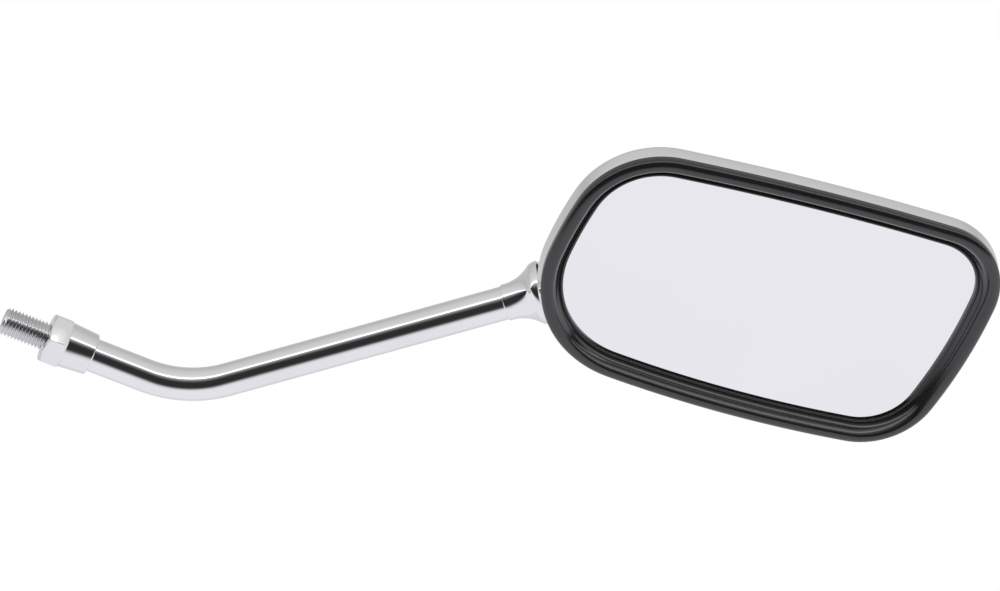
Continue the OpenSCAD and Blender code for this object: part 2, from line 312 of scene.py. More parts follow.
@dataclass(frozen=True)
class Polymer:
    """Rubber, nylon or foam."""

    name: str
    colour: Triple
    pale: Triple
    roughness: float
    spread: float = 0.08
    grain: float = 700.0
    grain_mm: float = 0.01
    specular: float = 0.5
    clouds: float = 40.0
    pale_from: float = 0.3
    pale_to: float = 0.7

    def material(self) -> bpy.types.Material:
        """Builds the material."""
        made, nodes = new_material(self.name + LOOK)
        place = nodes.object_place()
        fine = nodes.noise(place, self.grain, 5.0, 0.6)
        broad = nodes.noise(place, self.clouds, 3.0)
        uneven = 0.5 * fine + 0.5 * broad
        paler = uneven.between(self.pale_from, self.pale_to)
        nodes.surface(
            {
                "Base Color": nodes.mix(paler, rgba(self.colour), rgba(self.pale)),
                "Roughness": self.roughness + self.spread * uneven,
                "Specular IOR Level": self.specular,
                "Normal": nodes.bump(fine, self.grain_mm * MM, 1.0),
            }
        )
        return made


@dataclass(frozen=True)
class Silvering:
    """The mirror glass, seen as its silvered face."""

    name: str = "silvered_glass"
    colour: Triple = (0.965, 0.98, 0.975)
    dimmed: float = 0.985
    roughness: float = 0.012
    haze: float = 0.01
    haze_cells: float = 18.0
    dust: float = 0.02
    dust_cells: float = 1500.0

    def material(self) -> bpy.types.Material:
        """Builds the material."""
        made, nodes = new_material(self.name + LOOK)
        place = nodes.object_place()
        haze = nodes.noise(place, self.haze_cells, 2.0)
        dust = nodes.noise(place, self.dust_cells, 2.0).between(0.72, 0.8)
        dim = tuple(c * self.dimmed for c in self.colour)
        nodes.surface(
            {
                "Base Color": nodes.mix(haze.between(0.35, 0.7), rgba(self.colour), rgba(dim)),
                "Metallic": 1.0,
                "Roughness": self.roughness + self.haze * haze + self.dust * dust,
            }
        )
        return made


class Finish(Enum):
    """The finishes. Each but the glass's has the name of the record's slot that it belongs to."""

    TUBE = Metal("chrome_tube", (0.93, 0.925, 0.93), 0.025, 0.02, 1200.0, 0.002, 0.0)
    SHELL = Metal("chrome_shell", (0.92, 0.915, 0.915), 0.03, 0.03, 1100.0, 0.006, 0.0002)
    BELL = Metal("chrome_bell", (0.93, 0.925, 0.93), 0.03, 0.02, 1100.0, 0.004, 0.0)
    NUT = Metal("chrome_nut", (0.92, 0.915, 0.92), 0.04, 0.03, 1100.0, 0.002, 0.0002)
    THREAD = Metal("zinc_thread", (0.88, 0.885, 0.895), 0.22, 0.08, 2200.0, 0.0, 0.0012, 0.15)
    PLATE = Metal("zinc_plate", (0.72, 0.73, 0.74), 0.3, 0.15, 1500.0, 0.004, 0.002, 0.15)
    JOINT = Metal("joint_steel", (0.56, 0.565, 0.58), 0.2, 0.1, 1800.0, 0.0, 0.002, 0.12)
    SCREW = Metal("screw_steel", (0.6, 0.61, 0.63), 0.26, 0.12, 1800.0, 0.0, 0.002, 0.12)
    BEZEL = Polymer(
        "bezel_rubber", (0.007, 0.007, 0.0075), (0.011, 0.011, 0.012), 0.13, 0.04, 900.0, 0.0012, 0.85
    )
    SEAL = Polymer("seal_rubber", (0.016, 0.016, 0.018), (0.028, 0.028, 0.03), 0.55)
    SEAT = Polymer("seat_nylon", (0.8, 0.78, 0.72), (0.86, 0.85, 0.8), 0.42, 0.1, 500.0, 0.004)
    FOAM = Polymer("foam", (0.03, 0.03, 0.032), (0.06, 0.06, 0.063), 0.85, 0.1, 1600.0, 0.12, 0.2)
    GLASS = Silvering()

    def apply(self, piece: bpy.types.Object) -> None:
        """Dresses a piece in this finish.

        Args:
            piece: The object to dress.
        """
        material = bpy.data.materials.get(self.value.name + LOOK) or self.value.material()
        piece.data.materials.clear()
        piece.data.materials.append(material)


# Frames of the row, the head and the upper leg
def joint_frame(centre: Vector, columns: Sequence[Triple]) -> Matrix:
    """A frame in the row's own.

    Args:
        centre: Its origin in millimetres.
        columns: Its x, y and z directions.

    Returns:
        The matrix from the frame, in millimetres, to the row frame, in metres.
    """
    turned = Matrix(columns).transposed().to_4x4()
    return Matrix.Scale(MM, 4) @ Matrix.Translation(centre) @ turned


HALF = math.sqrt(0.5)
LOWER_LEG = 53.0
UPPER_LEG = 144.5
BALL = Vector((-UPPER_LEG * HALF, 0.0, LOWER_LEG + UPPER_LEG * HALF))
ROW = Matrix.Scale(MM, 4)
LEG = joint_frame(BALL, [(0, 1, 0), (HALF, 0, HALF), (-HALF, 0, HALF)])
HEAD = joint_frame(BALL, [(0, 0, 1), (-1, 0, 0), (0, -1, 0)])
# The way from the ball down the stem, in the head's frame
STEM_WAY = Vector((-HALF, -HALF, 0))


# Meshes
def clamped(x: float) -> float:
    """A number kept from 0 to 1."""
    return min(1.0, max(0.0, x))


def arc_points(cx: float, cy: float, r: float, start: float, end: float, steps: int) -> Profile:
    """Points along an arc, angles in degrees."""
    angles = [math.radians(start + (end - start) * s / steps) for s in range(steps + 1)]
    return [(cx + r * math.cos(a), cy + r * math.sin(a)) for a in angles]


def edges_in(geom: Sequence[object]) -> Edges:
    """The edges among an operator's results."""
    return [e for e in geom if isinstance(e, bmesh.types.BMEdge)]


def line_of(bm: Mesh, points: Sequence[Sequence[float]], closed: bool = False) -> Edges:
    """Draws a polyline.

    Args:
        bm: The mesh that it is drawn in.
        points: Its points.
        closed: Whether the last point joins the first.

    Returns:
        Its edges.
    """
    verts = [bm.verts.new(p) for p in points]
    pairs = list(zip(verts, verts[1:]))
    if closed:
        pairs.append((verts[-1], verts[0]))
    return [bm.edges.new(pair) for pair in pairs]


def grow(bm: Mesh, edges: Edges) -> tuple[Verts, Edges]:
    """Extrudes edges without moving them.

    Args:
        bm: The mesh.
        edges: The edges to start from.

    Returns:
        The new points and the new edges between them.
    """
    geom = bmesh.ops.extrude_edge_only(bm, edges=edges)["geom"]
    verts = [v for v in geom if isinstance(v, bmesh.types.BMVert)]
    made = set(verts)
    return verts, [e for e in edges_in(geom) if made.issuperset(e.verts)]


def spin(
    bm: Mesh,
    edges: Edges,
    angle: float,
    steps: int,
    centre: Triple = (0.0, 0.0, 0.0),
    axis: Triple = (0.0, 0.0, 1.0),
    climb: float = 0.0,
    merge: bool = False,
) -> Edges:
    """Spins edges round an axis.

    Args:
        bm: The mesh.
        edges: The edges to start from.
        angle: The whole turn in radians.
        steps: Its steps.
        centre: A point on the axis.
        axis: The axis's direction.
        climb: Rise of each step.
        merge: Whether a full turn joins its start.

    Returns:
        The edges at the end of the turn.
    """
    verts = dict.fromkeys(v for e in edges for v in e.verts)
    spun = bmesh.ops.spin(
        bm,
        geom=[*verts, *edges],
        cent=centre,
        axis=axis,
        dvec=(0, 0, climb),
        angle=angle,
        steps=steps,
        use_merge=merge,
        use_duplicate=False,
    )
    return edges_in(spun["geom_last"])


def lathe(bm: Mesh, profile: Profile, steps: int, closed: bool = True) -> None:
    """Turns a half section round the z axis.

    Args:
        bm: The mesh that it is added to.
        profile: Radius and height of each point.
        steps: Steps of the full turn.
        closed: Whether the section is a closed ring, and else an open line from pole to pole.
    """
    edges = line_of(bm, [(r, 0.0, z) for r, z in profile], closed)
    spin(bm, edges, math.tau, steps, merge=True)
    bmesh.ops.remove_doubles(bm, verts=bm.verts, dist=FINE_WELD)


def new_object(bm: Mesh, name: str) -> bpy.types.Object:
    """Turns a bmesh into an object of the scene.

    Args:
        bm: The mesh, which is freed.
        name: The object's name.

    Returns:
        The new object.
    """
    mesh = bpy.data.meshes.new(name)
    bm.to_mesh(mesh)
    bm.free()
    made = bpy.data.objects.new(name, mesh)
    bpy.context.scene.collection.objects.link(made)
    return made


def finish_mesh(
    bm: Mesh, name: str, frame: Matrix, body: str, finish: Finish, sharp: float = 35.0
) -> bpy.types.Object:
    """Turns a bmesh into a dressed piece that rides on its body.

    Args:
        bm: The mesh in its own frame, in millimetres.
        name: The piece's name.
        frame: The matrix to the row frame.
        body: The CAD body that it moves with.
        finish: Its finish.
        sharp: Angle past which an edge stays crisp, in degrees.

    Returns:
        The new object.
    """
    bmesh.ops.transform(bm, matrix=frame, verts=bm.verts)
    bmesh.ops.recalc_face_normals(bm, faces=bm.faces)
    for face in bm.faces:
        face.smooth = True
    piece = new_object(bm, name)
    piece.data.set_sharp_from_angle(angle=math.radians(sharp))
    finish.apply(piece)
    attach(piece, body)
    LOG.info("%s: %d faces on %s", name, len(piece.data.polygons), body)
    return piece


# Pieces, all in millimetres and degrees
@dataclass
class Stud:
    """The threaded stud below the tube."""

    crest_r: float = 5.0
    pitch: float = 1.25
    depth: float = 0.767
    # Where a flank starts, as a share of the pitch
    flank: float = 0.22
    # Share of the pitch and drop below the crest, of each point of the crest
    crest: tuple[tuple[float, float], ...] = ((0.54, 0.05), (0.57, 0.0), (0.65, 0.0), (0.68, 0.05))
    length: float = 16.0
    chamfer: float = 1.0
    hidden_r: float = 4.59
    hidden_start: float = 0.02
    hidden_end: float = 8.2
    spigot_r: float = 4.48
    spigot_end: float = 26.2
    lap: float = 0.5
    steps: int = 40
    spare_turns: int = 3
    spigot_steps: int = 32

    def tooth(self) -> Profile:
        """One pitch of the thread, as radius and height."""
        root = self.crest_r - self.depth
        crest = [(self.crest_r - drop, share * self.pitch) for share, drop in self.crest]
        return [(root, 0.0), (root, self.flank * self.pitch), *crest, (root, self.pitch)]

    def build(self, body: str) -> bpy.types.Object:
        """Builds the thread as one helix, trimmed at both ends, with the spigot above it.

        Args:
            body: The CAD body that it rides on.

        Returns:
            The stud.
        """
        bm = bmesh.new()
        turns = math.ceil((self.length + self.hidden_end) / self.pitch) + self.spare_turns
        low = -self.length - self.spare_turns / 2 * self.pitch
        edges = line_of(bm, [(r, 0.0, low + z) for r, z in self.tooth()])
        spin(bm, edges, math.tau * turns, self.steps * turns, climb=self.pitch / self.steps)
        bmesh.ops.remove_doubles(bm, verts=bm.verts, dist=WELD)
        for height, keep in ((-self.length, 1), (self.hidden_end, -1)):
            bmesh.ops.bisect_plane(
                bm,
                geom=[*bm.verts, *bm.edges, *bm.faces],
                plane_co=(0, 0, height),
                plane_no=(0, 0, keep),
                clear_inner=True,
            )
        for v in bm.verts:
            r = math.hypot(v.co.x, v.co.y)
            most = self.hidden_r if v.co.z > self.hidden_start else self.crest_r
            most = min(most, self.crest_r - self.chamfer + (v.co.z + self.length))
            if r > most:
                v.co.x *= most / r
                v.co.y *= most / r
        bmesh.ops.holes_fill(bm, edges=[e for e in bm.edges if e.is_boundary], sides=0)
        low = self.hidden_end - self.lap
        spigot = [(0.0, low), (self.spigot_r, low), (self.spigot_r, self.spigot_end), (0.0, self.spigot_end)]
        lathe(bm, spigot, self.spigot_steps, closed=False)
        piece = finish_mesh(bm, "stud_thread", ROW, body, Finish.THREAD, 50.0)
        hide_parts("mounting_stud")
        return piece


@dataclass
class LockNut:
    """The hexagon nut with its tapered sleeve."""

    flats: float = 17.0
    height: float = 7.2
    total: float = 17.1
    base_r: float = 8.15
    tip_r: float = 7.5
    edge: float = 0.6
    bore_r: float = 4.66
    bore_chamfer: float = 0.35
    step: float = 7.7
    sleeve_bore_r: float = 6.3
    sleeve_chamfer: float = 0.2
    turn: float = -3.0
    corner_spare: float = 0.4
    chamfer_inset: float = 0.3
    chamfer: float = 30.0
    round_over: float = 0.18
    round_from: float = 20.0
    slack: float = 0.01
    around: int = 96

    def section(self) -> Profile:
        """The blank's closed section, as radius and height."""
        corner = self.flats / 2 / math.cos(math.radians(30)) + self.corner_spare
        face_r = self.flats / 2 - self.chamfer_inset
        slope = math.tan(math.radians(self.chamfer))
        line = [
            (self.bore_r, self.bore_chamfer),
            (self.bore_r + self.bore_chamfer, 0.0),
            (face_r, 0.0),
            (corner, (corner - face_r) * slope),
            (corner, self.height - (corner - self.base_r) * slope),
            (self.base_r, self.height),
        ]
        line += arc_points(self.tip_r - self.edge, self.total - self.edge, self.edge, 5, 90, 6)
        line += [
            (self.sleeve_bore_r + self.sleeve_chamfer, self.total),
            (self.sleeve_bore_r, self.total - self.sleeve_chamfer),
            (self.sleeve_bore_r, self.step),
            (self.bore_r, self.step),
        ]
        return line

    def is_corner(self, edge: bmesh.types.BMEdge) -> bool:
        """Whether an edge is an outer one of the hexagon."""
        if len(edge.link_faces) != 2 or edge.calc_face_angle(0.0) <= math.radians(self.round_from):
            return False
        top = self.height - 2 * self.slack
        face_r = self.flats / 2 - self.chamfer_inset - self.slack
        return all(v.co.z < top and math.hypot(v.co.x, v.co.y) > face_r for v in edge.verts)

    def build(self, body: str) -> bpy.types.Object:
        """Turns the blank, saws its six flats and rounds the corners over.

        Args:
            body: The CAD body that it rides on.

        Returns:
            The nut.
        """
        bm = bmesh.new()
        lathe(bm, self.section(), self.around)
        for k in range(6):
            a = math.radians(self.turn + 30 + 60 * k)
            out = Vector((math.cos(a), math.sin(a), 0))
            cut = bmesh.ops.bisect_plane(
                bm,
                geom=[*bm.verts, *bm.edges, *bm.faces],
                plane_co=out * self.flats / 2,
                plane_no=out,
                clear_outer=True,
            )["geom_cut"]
            bmesh.ops.holes_fill(bm, edges=edges_in(cut), sides=0)
        bmesh.ops.bevel(
            bm,
            geom=[e for e in bm.edges if self.is_corner(e)],
            offset=self.round_over,
            segments=2,
            profile=0.5,
            affect="EDGES",
            material=-1,
        )
        piece = finish_mesh(bm, "nut_and_sleeve", ROW, body, Finish.NUT, 24.0)
        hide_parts("lock_nut")
        return piece


@dataclass
class StemTube:
    """The bent tube."""

    outer_r: float = 6.0
    inner_r: float = 4.5
    low: float = 8.2
    bend_r: float = 38.0
    bend: float = 45.0
    # How far below the ball's centre the tube ends
    top: float = 19.8
    around: int = 64
    steps: int = 24

    def build(self, body: str) -> bpy.types.Object:
        """Draws the two rings and runs them up the lower leg, round the bend and up the upper leg.

        Args:
            body: The CAD body that it rides on.

        Returns:
            The tube.
        """
        bm = bmesh.new()
        tangent = self.bend_r * math.tan(math.radians(self.bend / 2))
        start = LOWER_LEG - tangent
        rings = []
        for r in (self.outer_r, self.inner_r):
            rings += bmesh.ops.create_circle(bm, segments=self.around, radius=r, cap_ends=False)["verts"]
        bmesh.ops.translate(bm, verts=rings, vec=(0, 0, self.low))
        first = list(bm.edges)
        edges = self._run(bm, first, Vector((0, 0, start - self.low)))
        turn = math.radians(self.bend)
        edges = spin(bm, edges, turn, self.steps, (-self.bend_r, 0, start), (0, -1, 0))
        edges = self._run(bm, edges, Vector((-HALF, 0, HALF)) * (UPPER_LEG - self.top - tangent))
        bmesh.ops.bridge_loops(bm, edges=first)
        bmesh.ops.bridge_loops(bm, edges=edges)
        piece = finish_mesh(bm, "bent_tube", ROW, body, Finish.TUBE)
        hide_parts("stem")
        return piece

    @staticmethod
    def _run(bm: Mesh, edges: Edges, step: Vector) -> Edges:
        """Runs the rings on in a straight line.

        Args:
            bm: The mesh.
            edges: The rings' edges.
            step: Where to.

        Returns:
            The new rings' edges.
        """
        verts, ends = grow(bm, edges)
        bmesh.ops.translate(bm, verts=verts, vec=step)
        return ends


@dataclass
class NeckBell:
    """The flared cover between stem and shell. Heights run up the upper leg from the ball's centre."""

    narrow_r: float = 6.5
    wide_r: float = 11.4
    mouth: float = -9.5
    length: float = 14.7
    wall: float = 0.9
    flare_r: float = 14.5
    slope: float = 42.0
    rim: float = 0.8
    bore_r: float = 6.02
    bore_foot: float = 0.1
    rolled: float = 0.44
    around: int = 96

    def skin(self, inward: float) -> Profile:
        """The flare's line from the foot to the mouth, drawn in by the wall."""
        slope = math.radians(self.slope)
        shoulder = (self.wide_r - self.narrow_r) / (1 - math.cos(slope)) - self.flare_r
        rim_start = self.mouth - self.rim
        flare_end = rim_start - shoulder * math.sin(slope)
        flare_start = flare_end - self.flare_r * math.sin(slope)
        flare_x = self.narrow_r + self.flare_r
        outer = arc_points(flare_x, flare_start, self.flare_r + inward, 180, 180 - self.slope, 22)
        round_over = arc_points(self.wide_r - shoulder, rim_start, shoulder - inward, -self.slope, 0, 12)
        return outer + round_over[1:]

    def build(self, body: str) -> bpy.types.Object:
        """Turns the bell from its section.

        Args:
            body: The CAD body that it rides on.

        Returns:
            The bell.
        """
        bm = bmesh.new()
        foot = self.mouth - self.length
        half = self.wall / 2
        inside = [(r, z) for r, z in self.skin(self.wall) if r > self.bore_r]
        profile = [(self.bore_r, foot + self.bore_foot)]
        profile += arc_points(self.narrow_r - self.rolled, foot + self.rolled, self.rolled, -88, 0, 8)
        profile += self.skin(0.0)[1:]
        profile += arc_points(self.wide_r - half, self.mouth - half, half, 0, 180, 8)
        profile += list(reversed(inside))
        profile += [(self.bore_r, inside[0][1])]
        lathe(bm, profile, self.around)
        piece = finish_mesh(bm, "bell_cover", LEG, body, Finish.BELL, 40.0)
        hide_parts("neck_bell")
        return piece


@dataclass
class Outline:
    """The head's outline where the bezel is widest, in the head's frame: four corners, four bowed sides."""

    # Centre x and y and radius of each corner
    corners: tuple[Triple, ...] = (
        (19.5, 24.0, 40.5),
        (106.0, 23.0, 26.7),
        (101.6, 61.9, 26.8),
        (9.0, 39.7, 30.7),
    )
    # Radius of the side that follows each corner
    sides: tuple[float, ...] = (500.0, 190.0, 1030.0, 140.0)
    height: float = 18.5
    middle: Triple = (56.0, 36.0, 18.5)
    least_steps: int = 8

    def centres(self) -> Profile:
        """Centre x and y of each side, whose arc touches the corners at both its ends."""
        found = []
        for i, big in enumerate(self.sides):
            ax, ay, ar = self.corners[i]
            bx, by, br = self.corners[(i + 1) % 4]
            da = big - ar
            db = big - br
            span = math.hypot(bx - ax, by - ay)
            ex = (bx - ax) / span
            ey = (by - ay) / span
            x = (da * da - db * db + span * span) / (2 * span)
            y = math.sqrt(da * da - x * x)
            found.append((ax + ex * x - ey * y, ay + ey * x + ex * y))
        return found

    def arcs(self) -> list[tuple[float, float, float, float, float]]:
        """The eight arcs in order, each side before the corner at its end.

        Returns:
            Centre x and y, radius, start and turn in radians of each.
        """
        centres = self.centres()
        found = []
        for i, big in enumerate(self.sides):
            k = (i + 1) % 4
            ax, ay, _ = self.corners[i]
            bx, by, small = self.corners[k]
            cx, cy = centres[i]
            nx, ny = centres[k]
            start = math.atan2(ay - cy, ax - cx)
            stop = math.atan2(by - cy, bx - cx)
            after = math.atan2(by - ny, bx - nx)
            found.append((cx, cy, big, start, (stop - start) % math.tau))
            found.append((bx, by, small, stop, (after - stop) % math.tau))
        return found

    def sweep(self, bm: Mesh, profile: Profile, closed: bool, spacing: float) -> None:
        """Spins a section round the outline, arc by arc.

        Args:
            bm: The mesh that it is added to.
            profile: Distance out from the outline and height above it, of each point.
            closed: Whether the section is a closed ring.
            spacing: Length of a step along the outline, in millimetres.
        """
        arcs = self.arcs()
        cx, cy, r, start, _ = arcs[0]
        out_x = math.cos(start)
        out_y = math.sin(start)
        points = [(cx + (r + x) * out_x, cy + (r + x) * out_y, self.height + z) for x, z in profile]
        first = edges = line_of(bm, points, closed)
        for cx, cy, r, _, turn in arcs:
            steps = max(self.least_steps, round(r * turn / spacing))
            edges = spin(bm, edges, turn, steps, (cx, cy, 0))
        ends = dict.fromkeys(v for e in [*first, *edges] for v in e.verts)
        bmesh.ops.remove_doubles(bm, verts=list(ends), dist=SEAM_WELD)


@dataclass
class Shell:
    """The pressed pan with its dome over the ball."""

    outline: Outline
    sheet: float = 1.0
    lip: float = 1.1
    lip_top: float = 1.0
    back: float = 1.7
    depth: float = 29.6
    floor_run: float = 1.5
    draft: float = 30.0
    edge_r: float = 17.0
    bead_r: float = 2.0
    bead_gap: float = 0.05
    bead_end: float = 10.0
    bulge: float = 0.8
    step: float = 0.5
    # Distance out and height above the step, of each point of the bead's front edge
    step_edge: tuple[tuple[float, float], ...] = ((0.02, -0.25), (-0.08, 0.0))
    step_rise: float = 0.01
    dome_r: float = 13.85
    blend: float = 2.2
    press_reach: float = 8.0
    clear_r: float = 15.9
    clear_angle: float = 65.0
    clear_fade: float = 6.0
    room: float = 0.35
    hole_r: float = 6.9
    spacing: float = 1.6
    flank_rows: int = 20
    floor_rings: int = 14
    fine_r: float = 17.1

    def section(self) -> Profile:
        """The pan's outer line: flat back, round edge, flank, the bead behind the moulding and the lip."""
        d = math.radians(self.draft)
        bead_x = self.bulge - self.bead_r
        across = -self.lip - bead_x
        bead_z = -self.back - self.bead_gap - math.sqrt(self.bead_r ** 2 - across ** 2)
        edge_z = -self.depth + self.edge_r
        reach = bead_x * math.cos(d) - bead_z * math.sin(d) + self.bead_r
        inset = (self.edge_r - edge_z * math.sin(d) - reach) / math.cos(d)
        line = [(-inset - self.floor_run, -self.depth)]
        line += arc_points(-inset, edge_z, self.edge_r, -90, -self.draft, 22)
        bead = arc_points(bead_x, bead_z, self.bead_r, -self.draft, self.bead_end, 8)
        x0, z0 = line[-1]
        x1, z1 = bead[0]
        shares = [k / self.flank_rows for k in range(1, self.flank_rows)]
        line += [(x0 + (x1 - x0) * share, z0 + (z1 - z0) * share) for share in shares]
        line += bead
        line += [(x, self.step + z) for x, z in self.step_edge]
        line += [(-self.lip, self.step + self.step_rise), (-self.lip, self.lip_top)]
        return line

    def press(self, place: Vector) -> Vector:
        """Moves a point of the plain pan to where the pressing has it, round the ball.

        The dome stands out of the pan. Near the bell the skin folds back to leave a recess, in three
        rows of 1 mm: out to the recess's wall, down along it, and back over the dome.

        Args:
            place: The point in the head's frame, whose origin is the ball's centre.

        Returns:
            The moved point.
        """
        d = place.length
        if d < 1e-6 or d > self.clear_r + self.press_reach:
            return place
        along = place.dot(STEM_WAY)
        off = math.degrees(math.acos(max(-1.0, min(1.0, along / d))))
        side = (place - STEM_WAY * along).normalized()
        h = clamped(0.5 + 0.5 * (d - self.dome_r) / self.blend)
        domed = self.dome_r + (d - self.dome_r) * h + self.blend * h * (1 - h) * 0.5
        near = 1 - clamped((off - self.clear_angle) / self.clear_fade)
        near = near * near * (3 - 2 * near)
        wall_r = self.clear_r + self.room
        fold = wall_r - d
        drop = clamped(fold - 1)
        cleared = d if fold < 0 else wall_r * (1 - drop) + self.dome_r * drop
        r = domed * (1 - near) + cleared * near
        share = clamped(fold) if fold < 2 else max(0.0, 3 - fold)
        turned = math.radians(off + (max(off, self.clear_angle) - off) * share)
        return (STEM_WAY * math.cos(turned) + side * math.sin(turned)) * r

    def close_back(self, bm: Mesh) -> None:
        """Fills the flat back with rings of faces that shrink to its middle."""
        floor = self.outline.height - self.depth
        rim = [e for e in bm.edges if e.is_boundary and all(abs(v.co.z - floor) < WELD for v in e.verts)]
        middle = sum((v.co for e in rim for v in e.verts), Vector()) / (2 * len(rim))
        for left in range(self.floor_rings, 0, -1):
            verts, rim = grow(bm, rim)
            for v in verts:
                v.co = middle + (v.co - middle) * ((left - 1) / left)
        bmesh.ops.remove_doubles(bm, verts=bm.verts, dist=WELD)

    @staticmethod
    def thicken(bm: Mesh, sheet: float) -> None:
        """Gives the skin a second side and closes its rims.

        Args:
            bm: The skin, with its normals up to date.
            sheet: How far the second side lies against the normals.
        """
        verts = list(bm.verts)
        rims = [e for e in bm.edges if e.is_boundary]
        twin = bmesh.ops.duplicate(bm, geom=[*verts, *bm.edges, *bm.faces])["vert_map"]
        for v in verts:
            twin[v].co = v.co - v.normal * sheet
        for e in rims:
            a, b = e.verts
            bm.faces.new((a, b, twin[b], twin[a]))

    def build(self, body: str) -> bpy.types.Object:
        """Sweeps the pan, closes its back, presses the dome and gives the sheet its thickness.

        Args:
            body: The CAD body that it rides on.

        Returns:
            The shell.
        """
        bm = bmesh.new()
        self.outline.sweep(bm, self.section(), False, self.spacing)
        self.close_back(bm)
        near = [e for e in bm.edges if all(v.co.length < self.fine_r for v in e.verts)]
        bmesh.ops.subdivide_edges(bm, edges=near, cuts=2, use_grid_fill=True)
        for v in bm.verts:
            v.co = self.press(v.co)
        hole = []
        for v in bm.verts:
            along = v.co.dot(STEM_WAY)
            if along > 0 and (v.co - STEM_WAY * along).length < self.hole_r:
                hole.append(v)
        bmesh.ops.delete(bm, geom=hole, context="VERTS")
        bmesh.ops.recalc_face_normals(bm, faces=bm.faces)
        bm.normal_update()
        first = next(iter(bm.faces))
        outward = first.normal.dot(first.calc_center_median() - Vector(self.outline.middle)) > 0
        self.thicken(bm, self.sheet if outward else -self.sheet)
        piece = finish_mesh(bm, "pressed_shell", HEAD, body, Finish.SHELL, 50.0)
        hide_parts("shell")
        return piece


@dataclass
class Bezel:
    """The rubber moulding round the glass. Its section runs inwards from the outline."""

    outline: Outline
    width: float = 7.8
    foot: float = 0.55
    # Distance out and height above the foot, of each point of the foot's round edge
    foot_edge: tuple[tuple[float, float], ...] = ((-0.25, 0.0), (-0.06, 0.1), (0.0, 0.45))
    wall: float = 1.7
    # Radius, start and end angle and steps of each arc of the rib
    rib: tuple[tuple[float, int, int, int], ...] = (
        (1.9, 0, 50, 10),
        (3.0, 50, 100, 10),
        (1.5, 100, 140, 8),
        (9.0, 140, 158, 6),
    )
    lip: float = 0.4
    lip_r: float = 0.5
    # Distance out from the lip and height above its top, of each point of the groove
    groove: tuple[tuple[float, float], ...] = ((0.3, -0.35), (0.05, -0.5))
    glass_drop: float = 0.9
    glass_t: float = 2.0
    glass_slack: float = 0.02
    glass_inset: float = 5.0
    tab_inset: float = 7.6
    tab_t: float = 1.2
    heel_inset: float = 3.45
    # Distance in and height of each point that grips the shell's lip
    grip: tuple[tuple[float, float], ...] = ((2.25, -1.7), (2.2, 1.05), (1.0, 1.05), (1.0, 0.55))
    spacing: float = 2.0

    def section(self) -> Profile:
        """The closed section: a crowned rib, a groove, the thin lip on the glass and the seat behind it."""
        line = [(x, self.foot + z) for x, z in self.foot_edge]
        x, z = 0.0, self.foot + self.wall
        for r, start, end, steps in self.rib:
            cx = x - r * math.cos(math.radians(start))
            cz = z - r * math.sin(math.radians(start))
            line += arc_points(cx, cz, r, start, end, steps)[0 if start == 0 else 1:]
            x, z = line[-1]
        valley = -self.width + 2 * self.lip_r
        line += [(valley + out, self.lip + up) for out, up in self.groove]
        line += arc_points(valley - self.lip_r, self.lip - self.lip_r, self.lip_r, 10, 180, 12)
        front = -self.glass_drop + self.glass_slack
        rear = -self.glass_drop - self.glass_t - self.glass_slack
        heel = -self.glass_drop - self.glass_t - self.tab_t
        line += [
            (-self.width, front),
            (-self.glass_inset, front),
            (-self.glass_inset, rear),
            (-self.tab_inset, rear),
            (-self.tab_inset, heel),
            (-self.heel_inset, heel),
        ]
        line += [(-inset, z) for inset, z in self.grip]
        return line

    def build(self, body: str) -> bpy.types.Object:
        """Sweeps the moulding round the outline.

        Args:
            body: The CAD body that it rides on.

        Returns:
            The bezel.
        """
        bm = bmesh.new()
        self.outline.sweep(bm, self.section(), True, self.spacing)
        piece = finish_mesh(bm, "rubber_bezel", HEAD, body, Finish.BEZEL, 48.0)
        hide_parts("bezel")
        return piece


@dataclass
class Glass:
    """The silvered glass with its ground edge."""

    outline: Outline
    inset: float = 5.15
    drop: float = 0.9
    thickness: float = 2.0
    arris: float = 0.25
    spacing: float = 2.5

    def build(self, body: str) -> bpy.types.Object:
        """Sweeps the glass's edge and closes both faces.

        Args:
            body: The CAD body that it rides on.

        Returns:
            The glass.
        """
        bm = bmesh.new()
        side = -self.inset
        front = -self.drop
        rear = front - self.thickness
        edge = [
            (side - self.arris, front),
            (side, front - self.arris),
            (side, rear + self.arris),
            (side - self.arris, rear),
        ]
        self.outline.sweep(bm, edge, False, self.spacing)
        bmesh.ops.holes_fill(bm, edges=[e for e in bm.edges if e.is_boundary], sides=0)
        piece = finish_mesh(bm, "mirror_pane", HEAD, body, Finish.GLASS, 20.0)
        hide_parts("mirror_glass")
        return piece


@dataclass
class JointParts:
    """The CAD pieces of the ball joint and the foam, which keep their own meshes."""

    dressed: dict[str, Finish] = field(
        default_factory=lambda: {
            "ball_stud": Finish.JOINT,
            "neck_seal": Finish.SEAL,
            "ball_seat_front": Finish.SEAT,
            "ball_seat_rear": Finish.SEAT,
            "clamp_plate": Finish.PLATE,
            "joint_bracket": Finish.PLATE,
            "clamp_screw_1": Finish.SCREW,
            "clamp_screw_2": Finish.SCREW,
            "clamp_screw_3": Finish.SCREW,
            "clamp_washer_1": Finish.SCREW,
            "clamp_washer_2": Finish.SCREW,
            "clamp_washer_3": Finish.SCREW,
            "glass_foam": Finish.FOAM,
        }
    )

    def dress(self, nodes: dict[str, bpy.types.Object]) -> None:
        """Gives each piece its finish.

        Args:
            nodes: The CAD nodes by name.
        """
        for name, finish in self.dressed.items():
            finish.apply(nodes[name])
            LOG.info("%s keeps its CAD mesh", name)


